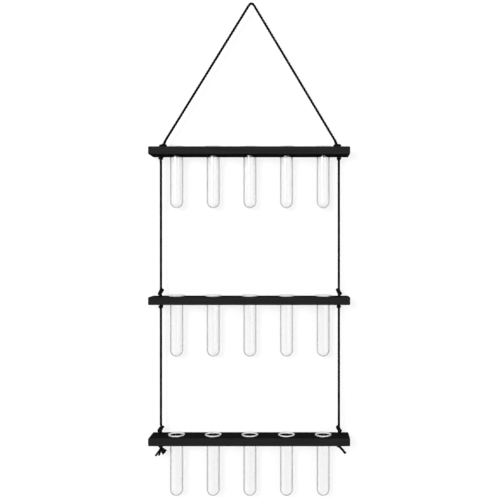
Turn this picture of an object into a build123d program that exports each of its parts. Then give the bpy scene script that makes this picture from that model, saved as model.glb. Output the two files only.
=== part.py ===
from build123d import *
from math import asin, cos, degrees, radians, sin, tan
import os

os.makedirs("parts", exist_ok=True)

# A rack of test-tube vases: three bars hang one below the other on one knotted cord, which goes over a nail.
# The origin is the top of the nail, where the inner side of the cord rests. X runs along the bars, to the
# right as seen from the front, Y runs from the front to the back, and Z is up. Lengths are in millimetres.

# The nail, and where the rack has settled on it
nail_diameter = 7.0
apex_offset = 3.0  # the middle of the bars hangs this far to the left of the nail

# The bars, and the drop of each top face below what is above it
bar_length = 380.0
bar_depth = 45.0
bar_thickness = 15.0
bar_edge_radius = 2.0
nail_to_first_bar = 274.0
first_to_second_bar = 283.5
second_to_third_bar = 265.4

# The test tubes, each hanging on its lip in a hole of its bar
tubes_per_bar = 5
end_tube_inset = 50.0  # from each end of the bar to the middle of the first or last tube
tube_diameter = 25.0
tube_wall = 1.2
tube_length = 118.0
lip_diameter = 31.6
lip_thickness = 2.4
lip_bevel = 0.6
mouth_bevel = 1.0
tube_hole_clearance = 0.5
lip_seat_gap = 0.2

# The cord and the holes that it is threaded through
cord_diameter = 3.6
cord_hole_diameter = 5.2
cord_hole_inset = 20.0
flex_gap = 0.3  # between the round end of a stretch of cord and the neck of the knot that it turns on

# The overhand knots. Each is drawn tight, so its turns lie this far from each other.
knot_gap = 0.2
knot_seat_gap = 0.3
knot_neck = 7.6  # from the knot's middle to the point where the cord above or below it flexes
second_bar_knot_height = 9.4  # the middle of the upper knots, above the bar's top face
third_bar_knot_height = 13.0
first_bar_knot_lean = 16.0  # degrees, towards the nail. These upper knots rest on their bar.
tail_knot_lean = 16.0  # degrees, which turns the cut tail out to the right
cord_sides = 6  # of the faceted section that stands for the cord in the knots

# The route of the cord through one half of an overhand knot, from its middle to its upper end, in shares of
# the distance between the middles of two touching turns. The other half is this one turned half round the
# Y axis. The knot is wide along X here and slim along Y.
knot_half_shares = (
    (-0.96, 0.94, -0.33),
    (-1.48, 0.18, -0.64),
    (-1.16, -0.66, -0.90),
    (-0.27, -1.07, -0.83),
    (0.49, -0.67, -0.35),
    (0.51, -0.05, 0.22),
    (0.11, 0.13, 1.04),
)
fillet_share = 0.45  # of the shorter of the two runs at a corner of the cord's route, taken by its arc

# The two tails under the third bar. Places are to the right of the cord hole and down from the underside.
tail_strand_diameter = 1.4
tail_strand_ring = 1.05  # from the cord's own line to the middle of each strand where they part
tail_strand_gap = 0.15
tail_strand_bow_share = 0.35  # of the way down, where a strand has turned to its own direction
unravelled_tips = (
    Vector(-10.5, -1.5, -24.4),
    Vector(-3.4, 2.0, -24.0),
    Vector(3.2, -2.5, -21.3),
    Vector(10.6, 1.0, -15.6),
    Vector(0.5, 4.0, -19.5),
)
cut_tail_route = (
    Vector(5.2, 0.0, -12.8),
    Vector(8.4, -0.4, -16.0),
    Vector(10.3, -0.6, -20.0),
)

# Places worked out from the sizes above
cord_radius = cord_diameter / 2
tube_radius = tube_diameter / 2
tube_pitch = (bar_length - 2 * end_tube_inset) / (tubes_per_bar - 1)
knot_pitch = cord_diameter + knot_gap
bars_middle = -apex_offset
bar_tops = (
    -nail_to_first_bar,
    -nail_to_first_bar - first_to_second_bar,
    -nail_to_first_bar - first_to_second_bar - second_to_third_bar,
)
cord_hole_reach = bar_length / 2 - cord_hole_inset
cord_hole_places = (bars_middle - cord_hole_reach, bars_middle + cord_hole_reach)


def tube_places():
    """The middles of the tube holes along a bar."""
    first = bars_middle - bar_length / 2 + end_tube_inset
    return [first + tube_pitch * i for i in range(tubes_per_bar)]


def corner_radii(route):
    """The radius at each inner corner of a route, as large as its two runs allow."""
    radii = []
    for before, corner, after in zip(route, route[1:], route[2:]):
        run = min((corner - before).length, (after - corner).length)
        turn = (corner - before).get_angle(after - corner)
        radii.append(fillet_share * run / tan(radians(turn) / 2))
    return radii


def cord_along(name, route, section):
    """The section swept along straight runs that tangent arcs join. Prints the arcs and tests the volume."""
    radii = corner_radii(route)
    path = FilletPolyline(*route, radius=radii)
    start = Plane(origin=route[0], z_dir=route[1] - route[0])
    cord = sweep(start * section, path=path)
    expected = section.area * path.length
    print(
        name,
        "length",
        round(path.length, 1),
        "arc radii",
        sorted({round(r, 1) for r in radii}),
        "volume over section times length",
        round(cord.volume / expected, 4),
    )
    return cord


def knot_frame(mouth, height, lean):
    """The frame of a knot on a line that leans from the given mouth of a cord hole, its slim side in front."""
    middle = mouth + Vector(height * tan(radians(lean)), 0, height)
    return Plane(Pos(*middle) * Rot(0, lean, 0) * Rot(0, 0, 90))


def knot_corners(frame):
    """The corners of the cord's route through a whole knot, from its upper end to its lower end."""
    half = [Vector(x, y, z) * knot_pitch for x, y, z in knot_half_shares]
    upper = list(reversed(half))
    lower = [Vector(-p.X, p.Y, -p.Z) for p in half]
    return [frame.from_local_coords(p) for p in upper + lower]


def upper_mouth(bar, side):
    """The middle of a cord hole in the bar's top face."""
    return Vector(cord_hole_places[side], 0, bar_tops[bar])


def lower_mouth(bar, side):
    """The middle of a cord hole in the bar's underside."""
    return upper_mouth(bar, side) - Vector(0, 0, bar_thickness)


def knot_rest(lean):
    """How far the middle of a knot is from the face it rests on, when it leans this many degrees."""
    tilt = radians(abs(lean))
    turns = knot_half_shares[:-1]
    reach = max(abs(y) * sin(tilt) + abs(z) * cos(tilt) for x, y, z in turns)
    return reach * knot_pitch + cord_radius + knot_seat_gap


def upper_lean(bar, side):
    """How far a knot above a bar leans. Those of the first bar lean towards the nail."""
    if bar:
        return 0
    return -first_bar_knot_lean if side else first_bar_knot_lean


def lower_lean(bar, side):
    """How far a knot under a bar leans. The right one of the last bar is turned by its tail."""
    return -tail_knot_lean if bar == len(bar_tops) - 1 and side else 0


def upper_knot(bar, side):
    """The frame of the knot above a bar."""
    lean = upper_lean(bar, side)
    height = (knot_rest(lean), second_bar_knot_height, third_bar_knot_height)[bar]
    return knot_frame(upper_mouth(bar, side), height, lean)


def lower_knot(bar, side):
    """The frame of the stopper knot under a bar."""
    lean = lower_lean(bar, side)
    return knot_frame(lower_mouth(bar, side), -knot_rest(lean), lean)


def flex_above(bar, side):
    """The point above a bar's upper knot where the cord flexes."""
    return upper_knot(bar, side).from_local_coords(Vector(0, 0, knot_neck))


def flex_below(bar, side):
    """The point below a bar's lower knot where the cord flexes."""
    return lower_knot(bar, side).from_local_coords(Vector(0, 0, -knot_neck))


def bar(top):
    """A painted wooden bar with eased edges, its tube holes and a cord hole near each end."""
    blank = Pos(bars_middle, 0, top - bar_thickness / 2) * Box(bar_length, bar_depth, bar_thickness)
    blank = fillet(blank.edges(), bar_edge_radius)
    tube_hole = Cylinder(tube_radius + tube_hole_clearance, bar_thickness * 2)
    cord_hole = Cylinder(cord_hole_diameter / 2, bar_thickness * 2)
    for x in tube_places():
        blank -= Pos(x, 0, top) * tube_hole
    for x in cord_hole_places:
        blank -= Pos(x, 0, top) * cord_hole
    return blank


def tube_profile():
    """Half of a test tube's section, with the underside of its lip at zero height."""
    inner = tube_radius - tube_wall
    lip = lip_diameter / 2
    dome = lip_thickness + tube_radius - tube_length
    outline = [
        Line((tube_radius, dome), (tube_radius, 0)),
        Polyline(
            (tube_radius, 0),
            (lip - lip_bevel, 0),
            (lip, lip_bevel),
            (lip, lip_thickness - lip_bevel),
            (lip - lip_bevel, lip_thickness),
            (inner + mouth_bevel, lip_thickness),
            (inner, lip_thickness - mouth_bevel),
            (inner, dome),
        ),
        CenterArc((0, dome), inner, 270, 90),
        Line((0, dome - inner), (0, dome - tube_radius)),
        CenterArc((0, dome), tube_radius, 270, 90),
    ]
    return make_face([edge for line in outline for edge in line.edges()])


def taut_cord(upper, lower):
    """A straight stretch of cord between two knots, round at both ends, where it flexes."""
    length = upper.Z - lower.Z
    side = Line((cord_radius, 0), (cord_radius, length))
    foot = CenterArc((0, 0), cord_radius, 270, 90)
    head = CenterArc((0, length), cord_radius, 0, 90)
    middle = Line((0, length + cord_radius), (0, -cord_radius))
    profile = make_face([line.edge() for line in (side, foot, head, middle)])
    return Pos(lower.X, lower.Y, lower.Z) * revolve(Plane.XZ * profile, Axis.Z)


def hanger_corner(left, right):
    """Where the lines of the two sloping legs meet above the nail, when both touch the cord's bend on it."""
    bend = nail_diameter / 2 + cord_radius
    nail = Vector(0, 0, -nail_diameter / 2)
    legs = []
    for foot, hand in ((left, 1), (right, -1)):
        to_nail = nail - foot
        leg_angle = degrees(asin(bend / to_nail.length)) * hand
        legs.append(to_nail.rotate(Axis.Y, -leg_angle))
    # the left leg's line crosses the right leg's line at this share of the way along its own vector
    gap = right - left
    cross = legs[0].X * legs[1].Z - legs[0].Z * legs[1].X
    along = (gap.X * legs[1].Z - gap.Z * legs[1].X) / cross
    return left + legs[0] * along


def cord_hanger():
    """The sloping legs and the tight bend over the nail, round at both feet, where they flex."""
    left, right = flex_above(0, 0), flex_above(0, 1)
    corner = hanger_corner(left, right)
    path = FilletPolyline(left, corner, right, radius=nail_diameter / 2 + cord_radius)
    start = Plane(origin=left, z_dir=corner - left)
    cord = sweep(start * Circle(cord_radius), path=path)
    print("cord_hanger length", round(path.length, 1), "highest point", round(cord.bounding_box().max.Z, 2))
    for foot in (left, right):
        cord += Pos(foot.X, foot.Y, foot.Z) * Sphere(cord_radius)
    return cord


def tied_cord(bar, side):
    """The cord at one end of a bar: a knot above it, the stretch through its hole and the knot below it."""
    reach = Vector(0, 0, knot_neck - cord_radius - flex_gap)
    upper, lower = upper_knot(bar, side), lower_knot(bar, side)
    route = [upper.from_local_coords(reach)]
    route += knot_corners(upper)
    if upper_lean(bar, side):
        route.append(upper_mouth(bar, side))
    if lower_lean(bar, side):
        route.append(lower_mouth(bar, side))
    route += knot_corners(lower)
    if lower_lean(bar, side):
        route += [lower_mouth(bar, side) + place for place in cut_tail_route]
    else:
        route.append(lower.from_local_coords(-reach))
    section = RegularPolygon(cord_radius, cord_sides)
    return cord_along(f"tied cord {bar + 1} {('left', 'right')[side]}", route, section), route


def unravelled_tail(cord_end):
    """The strands of the left tail, which part at the cord's end and fan out."""
    strands = []
    for i, tip in enumerate(unravelled_tips):
        angle = radians(360 * i / len(unravelled_tips))
        start = cord_end + Vector(
            tail_strand_ring * cos(angle), tail_strand_ring * sin(angle), -tail_strand_gap
        )
        end = lower_mouth(len(bar_tops) - 1, 0) + tip
        bow = Vector(
            start.X + (end.X - start.X) * tail_strand_bow_share / 2,
            start.Y + (end.Y - start.Y) * tail_strand_bow_share / 2,
            start.Z + (end.Z - start.Z) * tail_strand_bow_share,
        )
        section = RegularPolygon(tail_strand_diameter / 2, cord_sides)
        strands.append(cord_along(f"tail strand {i + 1}", [start, bow, end], section))
    return strands


def export_node(name, *solids):
    """Writes one node, of one solid or of several separate ones."""
    shape = solids[0] if len(solids) == 1 else Compound(children=list(solids))
    export_step(shape, f"parts/{name}.step")


tube = revolve(Plane.XZ * tube_profile(), Axis.Z)
for row, top in enumerate(bar_tops):
    export_node(f"bar_{row + 1}", bar(top))
    for column, x in enumerate(tube_places()):
        export_node(f"tube_{row + 1}_{column + 1}", Pos(x, 0, top + lip_seat_gap) * tube)
    pair = [tied_cord(row, side) for side in (0, 1)]
    solids = [cord for cord, route in pair]
    if top == bar_tops[-1]:
        solids += unravelled_tail(pair[0][1][-1])
    export_node(f"tied_cords_{row + 1}", *solids)

export_node("cord_hanger", cord_hanger())
for name, row in (("cord_mid", 0), ("cord_low", 1)):
    for side, hand in enumerate(("left", "right")):
        upper, lower = flex_below(row, side), flex_above(row + 1, side)
        print(f"{name}_{hand} length", round(upper.Z - lower.Z, 1))
        export_node(f"{name}_{hand}", taut_cord(upper, lower))
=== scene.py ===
import math
import random

import bmesh
import bpy
import numpy as np
from mathutils import Matrix, Vector


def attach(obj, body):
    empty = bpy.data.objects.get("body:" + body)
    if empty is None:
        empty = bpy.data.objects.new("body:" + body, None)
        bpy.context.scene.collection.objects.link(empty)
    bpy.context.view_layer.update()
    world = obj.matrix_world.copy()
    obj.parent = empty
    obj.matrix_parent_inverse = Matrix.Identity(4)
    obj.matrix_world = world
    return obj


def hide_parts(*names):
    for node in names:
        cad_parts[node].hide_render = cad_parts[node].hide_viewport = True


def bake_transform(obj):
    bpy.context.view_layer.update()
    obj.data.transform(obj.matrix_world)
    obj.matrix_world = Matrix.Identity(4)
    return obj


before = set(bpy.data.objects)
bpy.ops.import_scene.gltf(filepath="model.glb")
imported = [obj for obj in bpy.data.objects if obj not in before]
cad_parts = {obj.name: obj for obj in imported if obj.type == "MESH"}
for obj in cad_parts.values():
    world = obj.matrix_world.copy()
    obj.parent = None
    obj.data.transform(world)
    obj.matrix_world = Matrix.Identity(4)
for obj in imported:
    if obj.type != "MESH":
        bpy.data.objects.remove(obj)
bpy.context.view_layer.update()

MM = 0.001

# Places and sizes of the CAD model, in millimetres and degrees. A pair is for the left and the right side.
BAR_TOPS = (-274.0, -557.5, -822.9)
BAR_THICKNESS = 15.0
HOLES = (-173.0, 167.0)
TUBES = (-143.0, -73.0, -3.0, 67.0, 137.0)
TUBE_LENGTH = 118.0
TUBE_RADIUS = 12.5
BORE_RADIUS = 11.3
LIP_THICKNESS = 2.4
LIP_GAP = 0.2
CORD_RADIUS = 1.8
CORD_CORNER = (0.084, 0.0, 6.533)
KNOT_PITCH = 3.8
KNOT_NECK = 7.6
KNOT_REACH = 5.5
KNOT_SEAT_GAP = 0.3
KNOT_LEAN = 16.0
SECOND_KNOT_HEIGHT = 9.4
THIRD_KNOT_HEIGHT = 13.0

# The route of the cut tail, from the lower end of its hole
CUT_TAIL = ((5.2, 0.0, -10.9), (8.9, -0.4, -15.0), (12.4, -0.6, -19.6))

# The route through half of an overhand knot, in shares of the distance between two touching turns
HALF_KNOT = (
    (-0.96, 0.94, -0.33),
    (-1.48, 0.18, -0.64),
    (-1.16, -0.66, -0.90),
    (-0.27, -1.07, -0.83),
    (0.49, -0.67, -0.35),
    (0.51, -0.05, 0.22),
    (0.11, 0.13, 1.04),
)

HANGER_LENGTH = 622.6

# Each stretch of cord below the hanger: the piece's name, the CAD node and its real length on either side
STRETCHES = (
    ("knots_1", "tied_cords_1", (118.7, 118.6)),
    ("mid", "cord_mid", (238.4, 238.4)),
    ("knots_2", "tied_cords_2", (121.5, 121.5)),
    ("low", "cord_low", (216.7, 216.7)),
    ("knots_3", "tied_cords_3", (125.1, 137.1)),
)
BODIES = ("hanger", "first_bar", "middle_cords", "second_bar", "low_cords", "third_bar")

# The drawn rope, in millimetres and shares. Its strands turn once in a lay. Where it is cut, its stretches
# overlap by a few points, a little thinner.
ROPE_RADIUS = 2.35
STRANDS = 3
STRAND_SIDES = 8
STRAND_FULLNESS = 1.2
STRAND_FLATTENING = 0.08
LAY = 19.0
ROUTE_SPACING = 0.8
OVERLAP = 3
OVERLAP_WIDTH = 0.93
FRAY_LENGTH = 4.0
FRAY_SPREAD = 0.45

# The drawn knots. Their turns lie closer than the CAD's. Those above the bars have a width and a lift for
# each bar and side, and a height for each bar. The first bar's lean and stand further in. Those under the
# bars are alike.
DRAWN_PITCH = 3.6
DRAWN_TURNS = (0.0, 180.0)
DRAWN_WIDTHS = ((0.9, 0.9), (0.66, 0.66), (0.8, 0.66))
DRAWN_HEIGHTS = (0.78, 1.4, 1.35)
DRAWN_LIFTS = ((0.0, 0.0), (-0.6, -0.6), (-0.2, -1.2))
DRAWN_LEAN = 26.0
DRAWN_INWARD = (4.1, -3.0)
DRAWN_FEET = (4.3, -3.2)
UNDER_WIDTH = 0.95
UNDER_DEPTH = 0.62
UNDER_HEIGHT = 0.62
UNDER_TURN = 82.0
KNOT_PLUMP = 0.14
PLUMP_STEEPNESS = 1.6

# The unravelled tail. The tips of its tufts are measured from the lower end of the hole. Most of a tuft's
# yarns lie round its outside, and the others lie inside it. Chance turns, spreads and shortens each yarn,
# in radians, shares and points.
TUFT_TIPS = (
    (-10.6, -1.5, -24.6),
    (-4.4, 2.0, -24.6),
    (5.4, -2.5, -20.8),
    (10.2, 1.0, -15.6),
    (8.4, -1.0, -18.4),
    (1.8, 4.0, -19.6),
)
TUFT_RING = 2.0
TUFT_OVERLAP = 5.2
TUFT_BOW_SHARES = (0.3, 0.3, 0.42)
TUFT_SPACING = 0.45
TUFT_TWIST = 0.7
TUFT_RADIUS = 1.15
TUFT_GROWTH = 0.2
INNER_SHARE = 0.45
YARNS = 14
OUTER_YARNS = 8
YARN_RADIUS = 0.62
YARN_GROWTH = 0.1
YARN_SIDES = 6
YARN_TURNS = (0, 0.5)
YARN_SPREADS = (0.85, 1.15)
YARN_CUTS = (0, 4)

# The drawn tubes. Each is turned further than the one to its left and the one above it, in radians, so that
# their waves and smudges differ.
TUBE_SIDES = 96
ROW_TURN = 0.7
COLUMN_TURN = 1.1

# The stage, in metres and shares
CAMERA_PLACE = (0.0832, -1.26, -0.469)
OBJECT_MIDDLE = (0.0, 0.0, -0.47)
BACKDROP_Y = 0.0245
BACKDROP_HALF = 1.6
BACKDROP_LOW = -1.9
BACKDROP_HIGH = 1.0
BACKDROP_SHARE = 0.24
BACKDROP_LIFT = 0.12
WHITE = (1.0, 1.0, 1.0, 1.0)


# Camera and light


def node_calls(tree):
    """Short calls that add a node to a tree, with its inputs or settings by name, and join two sockets."""

    def node(kind, **values):
        made = tree.nodes.new(kind)
        for key, value in values.items():
            name = key.replace("_", " ")
            if name in made.inputs:
                made.inputs[name].default_value = value
            else:
                setattr(made, key, value)
        return made

    return node, tree.links.new


def seen_itself(node, join):
    """1 for what the camera sees, also through glass and in gloss, and 0 for what lights the object."""
    path = node("ShaderNodeLightPath")
    through = node("ShaderNodeMath", operation="MAXIMUM")
    join(path.outputs["Is Camera Ray"], through.inputs[0])
    join(path.outputs["Is Transmission Ray"], through.inputs[1])
    seen = node("ShaderNodeMath", operation="MAXIMUM")
    join(through.outputs[0], seen.inputs[0])
    join(path.outputs["Is Glossy Ray"], seen.inputs[1])
    return seen.outputs[0]


def make_camera():
    data = bpy.data.cameras.new("camera")
    data.sensor_width = 36.0
    data.lens = 47.47
    data.shift_x = -0.09
    data.clip_start = 0.05
    data.clip_end = 30.0
    camera = bpy.data.objects.new("camera", data)
    camera.location = CAMERA_PLACE
    camera.rotation_euler = (math.pi / 2, 0, 0)
    bpy.context.collection.objects.link(camera)
    bpy.context.scene.camera = camera


def make_lamp(name, place, size, watts):
    """A soft rectangular lamp that faces the object and isn't seen through the glass."""
    data = bpy.data.lights.new(name, "AREA")
    data.shape = "RECTANGLE"
    data.size, data.size_y = size
    data.energy = watts
    lamp = bpy.data.objects.new(name, data)
    lamp.location = place
    lamp.visible_transmission = False
    lamp.rotation_euler = (Vector(OBJECT_MIDDLE) - Vector(place)).to_track_quat("-Z", "Y").to_euler()
    bpy.context.collection.objects.link(lamp)


def make_world():
    """White where it is seen itself. Most of its light on the object comes from the front."""
    world = bpy.data.worlds.new("studio")
    bpy.context.scene.world = world
    world.use_nodes = True
    world.node_tree.nodes.clear()
    node, join = node_calls(world.node_tree)
    place = node("ShaderNodeTexCoord")
    split = node("ShaderNodeSeparateXYZ")
    join(place.outputs["Generated"], split.inputs[0])
    ahead = node("ShaderNodeMapRange", From_Min=-0.2, From_Max=-0.9, To_Min=0.06, To_Max=0.62)
    join(split.outputs["Y"], ahead.inputs["Value"])
    light = node("ShaderNodeBackground", Color=WHITE)
    join(ahead.outputs["Result"], light.inputs["Strength"])
    white = node("ShaderNodeBackground", Color=WHITE)
    mix = node("ShaderNodeMixShader")
    join(seen_itself(node, join), mix.inputs[0])
    join(light.outputs[0], mix.inputs[1])
    join(white.outputs[0], mix.inputs[2])
    out = node("ShaderNodeOutputWorld")
    join(mix.outputs[0], out.inputs["Surface"])


def backdrop_material():
    """A share of it is pale plaster, which shows shadows faintly, and the rest lets the white through. The
    plaster's glow lights nothing. It has no back, so that the object can be seen from behind."""
    material = bpy.data.materials.new("wall")
    material.use_nodes = True
    material.node_tree.nodes.clear()
    node, join = node_calls(material.node_tree)
    diffuse = node("ShaderNodeBsdfDiffuse", Color=(0.9, 0.9, 0.93, 1.0))
    lift = node("ShaderNodeMath", operation="MULTIPLY")
    lift.inputs[1].default_value = BACKDROP_LIFT
    join(seen_itself(node, join), lift.inputs[0])
    glow = node("ShaderNodeEmission")
    join(lift.outputs[0], glow.inputs["Strength"])
    plaster = node("ShaderNodeAddShader")
    join(diffuse.outputs[0], plaster.inputs[0])
    join(glow.outputs[0], plaster.inputs[1])
    face = node("ShaderNodeNewGeometry")
    share = node("ShaderNodeMapRange", To_Min=BACKDROP_SHARE, To_Max=0.0)
    join(face.outputs["Backfacing"], share.inputs["Value"])
    clear = node("ShaderNodeBsdfTransparent")
    mix = node("ShaderNodeMixShader")
    join(share.outputs["Result"], mix.inputs[0])
    join(clear.outputs[0], mix.inputs[1])
    join(plaster.outputs[0], mix.inputs[2])
    out = node("ShaderNodeOutputMaterial")
    join(mix.outputs[0], out.inputs["Surface"])
    return material


def make_backdrop():
    left, right, low, high = -BACKDROP_HALF, BACKDROP_HALF, BACKDROP_LOW, BACKDROP_HIGH
    corners = [(x, BACKDROP_Y, z) for x, z in ((left, low), (right, low), (right, high), (left, high))]
    mesh = bpy.data.meshes.new("wall")
    mesh.from_pydata(corners, [], [(0, 1, 2, 3)])
    mesh.materials.append(backdrop_material())
    backdrop = bpy.data.objects.new("wall", mesh)
    bpy.context.collection.objects.link(backdrop)


# Materials


def new_material(name):
    """A material, its Principled shader and the calls that add a node and join two sockets."""
    material = bpy.data.materials.new(name)
    material.use_nodes = True
    node, join = node_calls(material.node_tree)
    return material, material.node_tree.nodes["Principled BSDF"], node, join


def ramp(node, first, last):
    """A colour ramp from a first stop to a last one, each a place and a colour."""
    made = node("ShaderNodeValToRGB")
    for element, (place, colour) in zip(made.color_ramp.elements, (first, last)):
        element.position = place
        element.color = (*colour, 1.0)
    return made


def painted_wood():
    """Matt black paint on straight-grained wood, with the grain just showing through it."""
    material, shader, node, join = new_material("painted_wood")
    place = node("ShaderNodeTexCoord")
    stretch = node("ShaderNodeMapping", Scale=(9.0, 260.0, 260.0))
    join(place.outputs["Object"], stretch.inputs["Vector"])
    grain = node("ShaderNodeTexNoise", Scale=1.0, Detail=6.0, Roughness=0.62, Distortion=0.25)
    join(stretch.outputs[0], grain.inputs["Vector"])
    pores = node("ShaderNodeTexNoise", Scale=3.1, Detail=3.0, Roughness=0.5)
    join(stretch.outputs[0], pores.inputs["Vector"])
    orange_peel = node("ShaderNodeTexNoise", Scale=900.0, Detail=2.0, Roughness=0.5)
    join(place.outputs["Object"], orange_peel.inputs["Vector"])
    patches = node("ShaderNodeTexNoise", Scale=14.0, Detail=3.0, Roughness=0.55)
    join(place.outputs["Object"], patches.inputs["Vector"])
    tint = ramp(node, (0.3, (0.0125, 0.0125, 0.0128)), (0.72, (0.0205, 0.0205, 0.0212)))
    join(grain.outputs["Fac"], tint.inputs["Fac"])
    join(tint.outputs["Color"], shader.inputs["Base Color"])
    rough = node("ShaderNodeMapRange", To_Min=0.62, To_Max=0.78)
    join(patches.outputs["Fac"], rough.inputs["Value"])
    join(rough.outputs["Result"], shader.inputs["Roughness"])
    shader.inputs["Specular IOR Level"].default_value = 0.0
    fibres = node("ShaderNodeBump", Strength=0.32, Distance=0.00022)
    join(grain.outputs["Fac"], fibres.inputs["Height"])
    open_pores = node("ShaderNodeBump", Strength=0.2, Distance=0.00012)
    join(pores.outputs["Fac"], open_pores.inputs["Height"])
    join(fibres.outputs["Normal"], open_pores.inputs["Normal"])
    skin = node("ShaderNodeBump", Strength=0.12, Distance=0.00005)
    join(orange_peel.outputs["Fac"], skin.inputs["Height"])
    join(open_pores.outputs["Normal"], skin.inputs["Normal"])
    join(skin.outputs["Normal"], shader.inputs["Normal"])
    return material


def clear_glass():
    """Drawn glass with a little waviness and smudges. Painted shade darkens it where it is seen edge on, in
    place of the dark surroundings seen through its edges. Its rim has a painted highlight: it is whitened
    and less clear, in place of the light its bead catches, and it is rougher. Heights are a tube's own, from
    the underside of its lip."""
    rim_roughness = 0.22
    material, shader, node, join = new_material("clear_glass")
    shader.inputs["IOR"].default_value = 1.49
    place = node("ShaderNodeTexCoord")
    split = node("ShaderNodeSeparateXYZ")
    join(place.outputs["Object"], split.inputs[0])
    # Painted highlight: the rim is whitened and made less clear, in place of the light its bead catches. The
    # same mask makes it rougher.
    rim_painted_highlight = node("ShaderNodeMapRange", interpolation_type="SMOOTHSTEP", From_Min=-0.0002, From_Max=0.0009)
    join(split.outputs["Z"], rim_painted_highlight.inputs["Value"])
    clear = node("ShaderNodeMapRange", To_Min=1.0, To_Max=0.3)
    join(rim_painted_highlight.outputs["Result"], clear.inputs["Value"])
    join(clear.outputs["Result"], shader.inputs["Transmission Weight"])
    # Painted shade: the base colour darkens where the glass is seen edge on, in place of the dark
    # surroundings seen through its edges. The rim's painted highlight is laid over it.
    edge = node("ShaderNodeLayerWeight", Blend=0.5)
    painted_edge_shade = ramp(node, (0.36, (1.0, 1.0, 1.0)), (0.72, (0.14, 0.14, 0.14)))
    join(edge.outputs["Facing"], painted_edge_shade.inputs["Fac"])
    tint = node("ShaderNodeMath", operation="MAXIMUM")
    join(painted_edge_shade.outputs["Color"], tint.inputs[0])
    join(rim_painted_highlight.outputs["Result"], tint.inputs[1])
    join(tint.outputs[0], shader.inputs["Base Color"])
    stretch = node("ShaderNodeMapping", Scale=(60.0, 60.0, 9.0))
    join(place.outputs["Object"], stretch.inputs["Vector"])
    waves = node("ShaderNodeTexNoise", Scale=1.0, Detail=1.0, Roughness=0.3)
    join(stretch.outputs[0], waves.inputs["Vector"])
    bump = node("ShaderNodeBump", Strength=0.004, Distance=0.0001)
    join(waves.outputs["Fac"], bump.inputs["Height"])
    join(bump.outputs["Normal"], shader.inputs["Normal"])
    smudges = node("ShaderNodeTexNoise", Scale=70.0, Detail=4.0, Roughness=0.6)
    join(place.outputs["Object"], smudges.inputs["Vector"])
    rough = node("ShaderNodeMapRange", From_Min=0.5, From_Max=0.85, To_Min=0.0, To_Max=0.03)
    join(smudges.outputs["Fac"], rough.inputs["Value"])
    worn = node("ShaderNodeMath", operation="MULTIPLY_ADD")
    worn.inputs[1].default_value = rim_roughness
    join(rim_painted_highlight.outputs["Result"], worn.inputs[0])
    join(rough.outputs["Result"], worn.inputs[2])
    join(worn.outputs[0], shader.inputs["Roughness"])
    absorb = node("ShaderNodeVolumeAbsorption", Density=24.0, Color=(0.56, 0.53, 0.5, 1.0))
    join(absorb.outputs[0], material.node_tree.nodes["Material Output"].inputs["Volume"])
    return material


def black_yarn():
    """Black cotton yarn. Its UV map runs along each strand and round it, so the fibres follow the twist."""
    material, shader, node, join = new_material("black_yarn")
    uv = node("ShaderNodeUVMap", uv_map="strand")
    slant = node("ShaderNodeMapping", Rotation=(0.0, 0.0, 0.5), Scale=(420.0, 5200.0, 1.0))
    join(uv.outputs["UV"], slant.inputs["Vector"])
    fibres = node("ShaderNodeTexNoise", Scale=1.0, Detail=4.0, Roughness=0.65, Distortion=0.3)
    join(slant.outputs[0], fibres.inputs["Vector"])
    place = node("ShaderNodeTexCoord")
    patches = node("ShaderNodeTexNoise", Scale=120.0, Detail=3.0, Roughness=0.6)
    join(place.outputs["Object"], patches.inputs["Vector"])
    blend = node("ShaderNodeMath", operation="MULTIPLY")
    join(fibres.outputs["Fac"], blend.inputs[0])
    join(patches.outputs["Fac"], blend.inputs[1])
    tint = ramp(node, (0.1, (0.0015, 0.0015, 0.0018)), (0.45, (0.008, 0.008, 0.009)))
    join(blend.outputs[0], tint.inputs["Fac"])
    join(tint.outputs["Color"], shader.inputs["Base Color"])
    rough = node("ShaderNodeMapRange", To_Min=0.72, To_Max=0.95)
    join(fibres.outputs["Fac"], rough.inputs["Value"])
    join(rough.outputs["Result"], shader.inputs["Roughness"])
    shader.inputs["Sheen Weight"].default_value = 0.03
    shader.inputs["Sheen Roughness"].default_value = 0.5
    shader.inputs["Specular IOR Level"].default_value = 0.03
    bump = node("ShaderNodeBump", Strength=0.5, Distance=0.00015)
    join(fibres.outputs["Fac"], bump.inputs["Height"])
    join(bump.outputs["Normal"], shader.inputs["Normal"])
    return material


# Lines and tubes, in millimetres


def measured(line):
    """The length along a line at each of its points."""
    return np.concatenate([[0.0], np.cumsum(np.linalg.norm(np.diff(line, axis=0), axis=1))])


def spline_points(route, spacing=ROUTE_SPACING):
    """Evenly spaced points read from the smooth curve that has the route's points."""
    data = bpy.data.curves.new("route", "CURVE")
    data.dimensions = "3D"
    data.resolution_u = 24
    spline = data.splines.new("NURBS")
    spline.points.add(len(route) - 1)
    for point, place in zip(spline.points, route):
        point.co = (*(v * MM for v in place), 1.0)
    spline.order_u = 3
    spline.use_endpoint_u = True
    thread = bpy.data.objects.new("route", data)
    mesh = bpy.data.meshes.new_from_object(thread)
    read = np.array([v.co[:] for v in mesh.vertices]) / MM
    bpy.data.objects.remove(thread)
    bpy.data.curves.remove(data)
    bpy.data.meshes.remove(mesh)
    along = measured(read)
    count = max(2, int(round(along[-1] / spacing)) + 1)
    even = np.linspace(0.0, along[-1], count)
    return np.stack([np.interp(even, along, read[:, i]) for i in range(3)], axis=1)


def directions(line):
    """The direction of a line at each of its points."""
    tangent = np.gradient(line, axis=0)
    return tangent / np.linalg.norm(tangent, axis=1)[:, None]


def carried(tangents, side):
    """A direction square to a line, carried along it without a twist."""
    sides = []
    for t in tangents:
        side = side - t * side.dot(t)
        side = side / np.linalg.norm(side)
        sides.append(side)
    return np.array(sides)


def around(right, up, turns):
    """The directions out from a line at each of its points, turned from one side of it towards another."""
    return right * np.cos(turns)[:, None] + up * np.sin(turns)[:, None]


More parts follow.
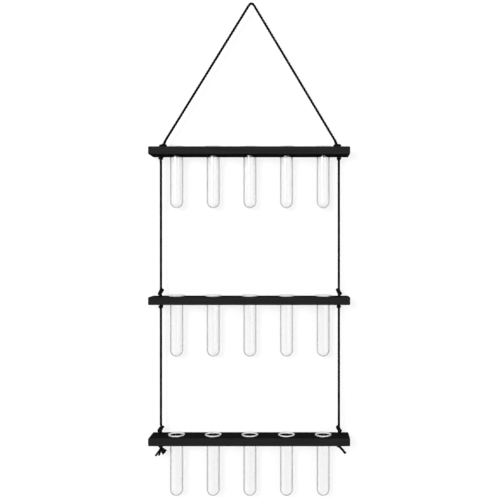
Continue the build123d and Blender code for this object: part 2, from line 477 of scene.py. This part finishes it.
def add_tube(data, line, radii, sides, flat=None):
    """Adds a closed tube along a line to the lists of a mesh in the making, with a UV along and round it. It
    can be flattened in one direction at each point."""
    verts, faces, uvs = data
    tangent = directions(line)
    nearly_along = 0.9
    first = (0.0, 1.0, 0.0) if abs(tangent[0][1]) < nearly_along else (1.0, 0.0, 0.0)
    right = carried(tangent, np.array(first))
    up = np.cross(tangent, right)
    start = len(verts)
    length = measured(line)
    for i, (point, radius) in enumerate(zip(line, radii)):
        for k in range(sides):
            a = 2 * math.pi * k / sides
            offset = right[i] * (math.cos(a) * radius) + up[i] * (math.sin(a) * radius)
            if flat is not None:
                offset = offset - flat[i] * (offset.dot(flat[i]) * STRAND_FLATTENING)
            verts.append(point + offset)
    girth = 2 * math.pi * float(np.mean(radii))
    for i in range(len(line) - 1):
        for k in range(sides):
            a, b = start + i * sides + k, start + i * sides + (k + 1) % sides
            faces.append((a, b, b + sides, a + sides))
            u0, u1 = length[i], length[i + 1]
            v0, v1 = girth * k / sides, girth * (k + 1) / sides
            uvs.extend([(u0, v0), (u0, v1), (u1, v1), (u1, v0)])
    last = start + (len(line) - 1) * sides
    faces.append(tuple(start + k for k in reversed(range(sides))))
    faces.append(tuple(last + k for k in range(sides)))
    uvs.extend([(0.0, girth * k / sides) for k in range(sides)] * 2)


def mesh_piece(name, data, material, body):
    """An object from lists of points, which rides on a CAD body if it is given one."""
    verts, faces, uvs = data
    mesh = bpy.data.meshes.new(name)
    mesh.from_pydata([tuple(float(x) * MM for x in v) for v in verts], [], faces)
    layer = mesh.uv_layers.new(name="strand")
    for loop, uv in zip(layer.data, uvs):
        loop.uv = (uv[0] * MM, uv[1] * MM)
    for polygon in mesh.polygons:
        polygon.use_smooth = True
    mesh.materials.append(material)
    piece = bpy.data.objects.new(name, mesh)
    bpy.context.collection.objects.link(piece)
    if body:
        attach(piece, body)
    return piece


# The cord's routes


def knot_rest(lean):
    """How far the middle of a CAD knot is from the face it rests on."""
    tilt = math.radians(abs(lean))
    reach = max(abs(y) * math.sin(tilt) + abs(z) * math.cos(tilt) for x, y, z in HALF_KNOT[:-1])
    return reach * KNOT_PITCH + CORD_RADIUS + KNOT_SEAT_GAP


def knot_frame(bar, side, under):
    """The matrix of a knot's frame, as the CAD model places it."""
    lean = 0.0
    if under:
        if bar == 2 and side:
            lean = -KNOT_LEAN
        height = -knot_rest(lean)
    else:
        if bar == 0:
            lean = -KNOT_LEAN if side else KNOT_LEAN
        height = (knot_rest(lean), SECOND_KNOT_HEIGHT, THIRD_KNOT_HEIGHT)[bar]
    mouth = Vector((HOLES[side], 0.0, BAR_TOPS[bar] - (BAR_THICKNESS if under else 0.0)))
    middle = mouth + Vector((height * math.tan(math.radians(lean)), 0.0, height))
    return Matrix.Translation(middle) @ Matrix.Rotation(math.radians(lean), 4, "Y")


def knot_points(bar, side, under):
    """The route through a knot, with its two lobes turned and drawn tight as they are in the photograph."""
    wide, deep, tall = DRAWN_WIDTHS[bar][side], 1.0, DRAWN_HEIGHTS[bar]
    if under:
        wide, deep, tall = UNDER_WIDTH, UNDER_DEPTH, UNDER_HEIGHT
    half = [Vector((x * wide, y * deep, z * tall)) * DRAWN_PITCH for x, y, z in HALF_KNOT]
    points = list(reversed(half)) + [Vector((-p.x, p.y, -p.z)) for p in half]
    lean = DRAWN_LEAN * (1 - 2 * side) if bar == 0 and not under else 0.0
    about = DRAWN_TURNS[side] + (UNDER_TURN if under else 0.0)
    turn = Matrix.Rotation(math.radians(lean), 4, "Y") @ Matrix.Rotation(math.radians(about), 4, "Z")
    points = [turn @ p for p in points]
    middle = knot_frame(bar, side, under).translation
    if under or bar == 0:
        # The knot rests on its face of the bar, so its nearest turn touches it
        heights = spline_points(points[1:-1])[:, 2]
        middle.x = HOLES[side]
        if under:
            middle.z = BAR_TOPS[bar] - BAR_THICKNESS - heights.max() - ROPE_RADIUS
        else:
            middle.x += DRAWN_INWARD[side]
            middle.z = BAR_TOPS[bar] - heights.min() + ROPE_RADIUS
    else:
        middle.z += DRAWN_LIFTS[bar][side]
    return [middle + p for p in points]


def flex(bar, side, under):
    """The point where the cord flexes above a bar's upper knot, or below its lower one."""
    point = knot_frame(bar, side, under) @ Vector((0.0, 0.0, -KNOT_NECK if under else KNOT_NECK))
    if bar == 0 and not under:
        point.x += DRAWN_FEET[side]
    return point


def hanger_route():
    """Up from the right foot, round the corner at the top and down to the left foot. Points six diameters
    before and after the corner keep both legs straight."""
    left, right = flex(0, 0, False), flex(0, 1, False)
    corner = Vector(CORD_CORNER)
    near = 6 * 2 * CORD_RADIUS
    return [
        right,
        corner + (right - corner).normalized() * near,
        corner,
        corner + (left - corner).normalized() * near,
        left,
    ]


def tied_route(bar, side):
    """Through the knot above a bar, its hole and the knot below it, and on to the next flex or to a tail."""
    mouth = Vector((HOLES[side], 0.0, BAR_TOPS[bar]))
    floor = mouth - Vector((0.0, 0.0, BAR_THICKNESS))
    route = [flex(bar, side, False)] + knot_points(bar, side, False) + [mouth, floor]
    route += knot_points(bar, side, True)
    if bar < 2:
        route.append(flex(bar, side, True))
    elif side:
        route += [floor + Vector(p) for p in CUT_TAIL]
    else:
        route.append(knot_frame(bar, side, True) @ Vector((0.0, 0.0, -KNOT_REACH)))
    return route


def side_routes(side):
    """The routes of one side's rope, from the foot of the hanger down to its tail."""
    routes = []
    for bar in range(3):
        routes.append(tied_route(bar, side))
        if bar < 2:
            top, foot = flex(bar, side, True), flex(bar + 1, side, False)
            routes.append([top, (top + foot) / 2, foot])
    return routes


# The drawn rope


def knot_plump(line, bar):
    """How much thicker the rope is drawn where it is knotted above a bar, as its strands spread there."""
    height = np.clip((line[:, 2] - BAR_TOPS[bar]) / KNOT_NECK, 0.0, 2.0)
    return 1.0 + KNOT_PLUMP * np.clip(PLUMP_STEEPNESS * np.sin(np.pi * height / 2), 0.0, 1.0)


class Chain:
    """The hanger and one side's rope in one piece, so that its twist runs on through every cut. It takes the
    hanger's line with its sides and turns, and the side's routes."""

    def __init__(self, line, sides, turns, routes):
        known = len(line)
        lines, plump, self.cuts = [line], [np.ones(known)], [0, known - 1]
        for i, route in enumerate(routes):
            more = spline_points(route)[1:]
            lines.append(more)
            # Each bar has a knotted stretch, and the next one is plain
            plump.append(np.ones(len(more)) if i % 2 else knot_plump(more, i // 2))
            self.cuts.append(self.cuts[-1] + len(more))
        self.line = np.concatenate(lines)
        self.plump = np.concatenate(plump)
        self.tangents = directions(self.line)
        self.sides = np.concatenate([sides, carried(self.tangents[known:], sides[-1])])
        along = measured(self.line)
        more_turns = 2 * math.pi * (along[known:] - along[known - 1]) / LAY
        self.turns = np.concatenate([turns, turns[-1] + more_turns])

    def strands(self, index, frayed):
        """A stretch's strands and its line, which starts a little inside the stretch before it."""
        low, high = self.cuts[index], self.cuts[index + 1] + 1
        if index:
            low -= OVERLAP
        line, tangents, size = self.line[low:high], self.tangents[low:high], self.plump[low:high].copy()
        if index:
            size[:OVERLAP] *= OVERLAP_WIDTH
        right = carried(tangents, self.sides[low])
        up = np.cross(tangents, right)
        # Round strands just touch where this share of their distance from the rope's middle is their radius
        touching = math.sin(math.pi / STRANDS)
        ring = ROPE_RADIUS / (1.0 + touching)
        thick = ring * touching * STRAND_FULLNESS
        spread = size
        if frayed:
            along = measured(line)
            end = np.clip(1.0 - (along[-1] - along) / FRAY_LENGTH, 0.0, 1.0)
            spread = size * (1.0 + FRAY_SPREAD * end**2)
        data = ([], [], [])
        for s in range(STRANDS):
            out = around(right, up, self.turns[low:high] + 2 * math.pi * s / STRANDS)
            add_tube(data, line + out * (ring * spread)[:, None], thick * size, STRAND_SIDES, flat=out)
        return data, line


def tie(name, chain, index, bodies, node, length, far_end="object", lay="taut", frayed=False, **more):
    """A stretch of a chain as a mesh piece, which rides on its body if it joins one and is baked in place if
    it joins two. It hides the CAD node it stands for.
    """
    data, line = chain.strands(index, frayed)
    piece = mesh_piece(name, data, YARN, bodies[0] if len(bodies) == 1 else None)
    if len(bodies) == 2:
        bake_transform(piece)
    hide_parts(node)


def make_tail():
    """The unravelled tail: tufts of loose yarns that open towards their tips."""
    chance = random.Random(4)
    end = knot_frame(2, 0, True) @ Vector((0.0, 0.0, -KNOT_REACH))
    floor = Vector((HOLES[0], 0.0, BAR_TOPS[2] - BAR_THICKNESS))
    data = ([], [], [])
    for i, tip in enumerate(TUFT_TIPS):
        angle = 2 * math.pi * i / len(TUFT_TIPS)
        start = end + Vector((TUFT_RING * math.cos(angle), TUFT_RING * math.sin(angle), TUFT_OVERLAP))
        tip = floor + Vector(tip)
        bow = start + Vector([share * way for share, way in zip(TUFT_BOW_SHARES, tip - start)])
        line = spline_points([start, bow, tip], spacing=TUFT_SPACING)
        tangents = directions(line)
        right = carried(tangents, np.array((0.0, 1.0, 0.0)))
        up = np.cross(tangents, right)
        along = np.linspace(0.0, 1.0, len(line))
        for y in range(YARNS):
            turns = 2 * math.pi * (y / OUTER_YARNS + along * TUFT_TWIST) + chance.uniform(*YARN_TURNS)
            share = 1.0 if y < OUTER_YARNS else INNER_SHARE
            spread = (TUFT_RADIUS + TUFT_GROWTH * along) * chance.uniform(*YARN_SPREADS) * share
            stop = len(line) - chance.randrange(*YARN_CUTS)
            yarn = line + around(right, up, turns) * spread[:, None]
            add_tube(data, yarn[:stop], (YARN_RADIUS + YARN_GROWTH * along)[:stop], YARN_SIDES)
    piece = mesh_piece("rope_tail_strands", data, YARN, "third_bar")
    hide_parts("tied_cords_3")
    return piece


def make_cords():
    line = spline_points(hanger_route())
    sides = carried(directions(line), np.array((0.0, 1.0, 0.0)))
    turns = 2 * math.pi * measured(line) / LAY
    left = Chain(line, sides, turns, side_routes(0))
    right = Chain(line[::-1], sides[::-1], -turns[::-1], side_routes(1))
    tie("rope_hanger", left, 0, BODIES[:1], "cord_hanger", HANGER_LENGTH)
    for side, (hand, chain) in enumerate((("left", left), ("right", right))):
        for i, (name, node, lengths) in enumerate(STRETCHES):
            if not node.startswith("tied"):
                node = f"{node}_{hand}"
            more = {}
            if i == len(STRETCHES) - 1:
                more = {"far_end": "bare", "lay": "hanging", "frayed": bool(side)}
                if not side:
                    more["with_pieces"] = [make_tail()]
            tie(f"rope_{name}_{hand}", chain, i + 1, BODIES[i : i + 2], node, lengths[side], **more)


# Bars and tubes


def make_bars():
    for i in range(3):
        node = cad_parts[f"bar_{i + 1}"]
        node.data.materials.clear()
        node.data.materials.append(WOOD)


def arc(middle, radius, first, last, count):
    """Points on an arc of a section, between two angles in degrees."""
    angles = np.radians(np.linspace(first, last, count))
    return [(middle[0] + radius * math.cos(a), middle[1] + radius * math.sin(a)) for a in angles]


def straight(radius, bottom, top):
    """Three points up a straight stretch of a section, between its ends, so that no face is too long."""
    return [(radius, bottom + (top - bottom) * k / 4) for k in (1, 2, 3)]


def tube_outline():
    """Half of a tube's section in millimetres, from the middle of its round bottom out and back inside.
    Heights are from the underside of its lip, a bead over a short neck, with a soft throat into the bore."""
    dome = TUBE_RADIUS + LIP_THICKNESS - TUBE_LENGTH
    dome_points, bead_points = 25, 15
    outside_top, bore_top = -2.0, -8.0
    neck = [(12.5, -3.0), (12.5, -1.0), (12.56, 0.0), (12.8, 0.12), (13.3, 0.1), (13.9, 0.03)]
    bead_middle, bead_radius = (14.45, 1.32), 1.3
    throat = [(13.75, 2.52), (13.25, 2.36), (12.75, 2.02), (12.3, 1.5), (11.95, 0.8), (11.68, 0.0)]
    throat += [(11.5, -1.0), (11.37, -2.4), (11.3, -4.5), (11.3, bore_top)]
    points = arc((0.0, dome), TUBE_RADIUS, -90, 0, dome_points)
    points += straight(TUBE_RADIUS, dome, outside_top) + neck
    points += arc(bead_middle, bead_radius, -90, 100, bead_points) + throat
    points += reversed(straight(BORE_RADIUS, dome, bore_top))
    points += arc((0.0, dome), BORE_RADIUS, 0, -90, dome_points)
    return points


def make_tube_mesh():
    """A tube as a turned mesh, closed by a single point at each end of its outline."""
    on_axis = 1e-6
    maker = bmesh.new()
    rings = []
    for r, z in tube_outline():
        ring = []
        for k in range(TUBE_SIDES if r > on_axis else 1):
            a = 2 * math.pi * k / TUBE_SIDES
            ring.append(maker.verts.new((r * MM * math.cos(a), r * MM * math.sin(a), z * MM)))
        rings.append(ring)
    for below, above in zip(rings, rings[1:]):
        for k in range(TUBE_SIDES):
            n = k + 1
            corners = [ring[j % len(ring)] for ring, j in ((below, k), (below, n), (above, n), (above, k))]
            maker.faces.new(list(dict.fromkeys(corners)))
    bmesh.ops.recalc_face_normals(maker, faces=maker.faces)
    mesh = bpy.data.meshes.new("glass_tube")
    maker.to_mesh(mesh)
    maker.free()
    for polygon in mesh.polygons:
        polygon.use_smooth = True
    mesh.materials.append(GLASS)
    return mesh


def make_tubes():
    mesh = make_tube_mesh()
    for row, top in enumerate(BAR_TOPS):
        for column, x in enumerate(TUBES):
            name = f"{row + 1}_{column + 1}"
            tube = bpy.data.objects.new(f"glass_tube_{name}", mesh)
            tube.location = (x * MM, 0.0, (top + LIP_GAP) * MM)
            tube.rotation_euler = (0.0, 0.0, ROW_TURN * row + COLUMN_TURN * column)
            bpy.context.collection.objects.link(tube)
            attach(tube, f"vase_{name}")
            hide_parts(f"tube_{name}")


make_camera()
make_world()
make_lamp("key", place=(-0.75, -2.2, 0.05), size=(0.8, 0.8), watts=38)
make_lamp("fill", place=(1.4, -2.2, -0.4), size=(1.6, 2.0), watts=20)
make_backdrop()

WOOD, GLASS, YARN = painted_wood(), clear_glass(), black_yarn()
make_cords()
make_bars()
make_tubes()

bpy.context.scene.view_settings.view_transform = "Standard"

bpy.context.view_layer.update()
